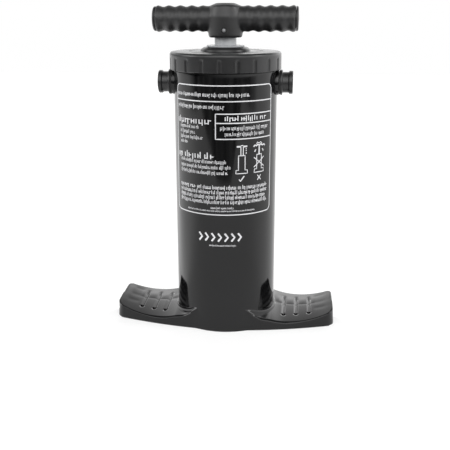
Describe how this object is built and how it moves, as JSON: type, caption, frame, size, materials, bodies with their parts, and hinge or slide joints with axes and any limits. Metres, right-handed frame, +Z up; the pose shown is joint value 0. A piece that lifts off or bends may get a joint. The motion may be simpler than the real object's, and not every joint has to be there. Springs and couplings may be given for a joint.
{
  "type": "double action hand pump",
  "caption": "Upright hand air pump with a T handle, a round barrel on two curved foot pedals, a screw cap and side hose ports that pushes air on both strokes.",
  "frame": {"origin": "on the barrel's axis at the ground", "axes": "+Z up along the barrel, +X towards the pedal on the inflate port's side, -Y towards the printed front"},
  "size_m": [0.2362, 0.112, 0.331],
  "materials": {
    "barrel_plastic": "smooth glossy black moulding with white print",
    "cap_plastic": "satin black moulding",
    "port_plastic": "satin black moulding",
    "handle_plastic": "finely textured black moulding",
    "rod_plastic": "smooth light grey tube",
    "bush_plastic": "grey bearing plastic",
    "cylinder_plastic": "greased light grey moulding",
    "plate_plastic": "plain black moulding",
    "pin_steel": "zinc plated steel",
    "seal_rubber": "greased rubber",
    "print_ink": "white screen print on the barrel, which only the visual model shows"
  },
  "bodies": {
    "barrel": {"barrel_with_pedals": "barrel_plastic", "inner_cylinder": "cylinder_plastic", "lower_valve_plate": "plate_plastic", "upper_valve_plate": "plate_plastic", "lower_cylinder_gasket": "seal_rubber", "upper_cylinder_gasket": "seal_rubber", "inflate_port": "port_plastic", "deflate_port": "port_plastic", "inflate_port_seal": "seal_rubber", "deflate_port_seal": "seal_rubber"},
    "cap_seal": {"cap_gasket": "seal_rubber"},
    "cap": {"screw_cap": "cap_plastic", "rod_bush": "bush_plastic", "rod_seal": "seal_rubber", "seal_retainer": "plate_plastic", "gland_ring": "seal_rubber"},
    "piston_rings": {"lower_piston_ring": "seal_rubber", "upper_piston_ring": "seal_rubber"},
    "rod": {"piston_rod": "rod_plastic", "piston": "cylinder_plastic", "rod_end_plug": "plate_plastic", "piston_bolt": "pin_steel", "upper_bumper": "seal_rubber", "lower_bumper": "seal_rubber", "handle": "handle_plastic", "handle_pin": "pin_steel", "left_end_cap": "handle_plastic", "right_end_cap": "handle_plastic"},
    "lower_inlet_valve": {"lower_inlet_valve": "seal_rubber"},
    "lower_outlet_valve": {"lower_outlet_valve": "seal_rubber"},
    "upper_inlet_valve": {"upper_inlet_valve": "seal_rubber"},
    "upper_outlet_valve": {"upper_outlet_valve": "seal_rubber"}
  },
  "joints": [
    {"name": "pump_stroke", "type": "slide", "parent": "barrel", "child": "piston_rings", "axis": [0, 0, 1], "range_m": [0, 0.217]},
    {"name": "handle_turn", "type": "hinge", "parent": "piston_rings", "child": "rod", "pos_m": [0, 0, 0.316], "axis": [0, 0, 1], "continuous": true},
    {"name": "cap_lift", "type": "slide", "parent": "barrel", "child": "cap_seal", "axis": [0, 0, 1], "range_m": [0, 0.006]},
    {"name": "cap_turn", "type": "hinge", "parent": "cap_seal", "child": "cap", "pos_m": [0, 0, 0.275], "axis": [0, 0, 1], "range_deg": [0, 360]},
    {"name": "lower_inlet_valve_lift", "type": "slide", "parent": "barrel", "child": "lower_inlet_valve", "axis": [0, 0, 1], "range_m": [0, 0.0012], "stiffness_N_per_m": 15, "springref_m": -0.001},
    {"name": "lower_outlet_valve_lift", "type": "slide", "parent": "barrel", "child": "lower_outlet_valve", "axis": [0, 0, -1], "range_m": [0, 0.0012], "stiffness_N_per_m": 15, "springref_m": -0.001},
    {"name": "upper_inlet_valve_lift", "type": "slide", "parent": "barrel", "child": "upper_inlet_valve", "axis": [0, 0, -1], "range_m": [0, 0.0012], "stiffness_N_per_m": 15, "springref_m": -0.001},
    {"name": "upper_outlet_valve_lift", "type": "slide", "parent": "barrel", "child": "upper_outlet_valve", "axis": [0, 0, 1], "range_m": [0, 0.0012], "stiffness_N_per_m": 15, "springref_m": -0.001}
  ],
  "couplings": [
    {"joint": "cap_lift", "follows": "cap_turn", "m_per_rad": 0.00095493}
  ]
}
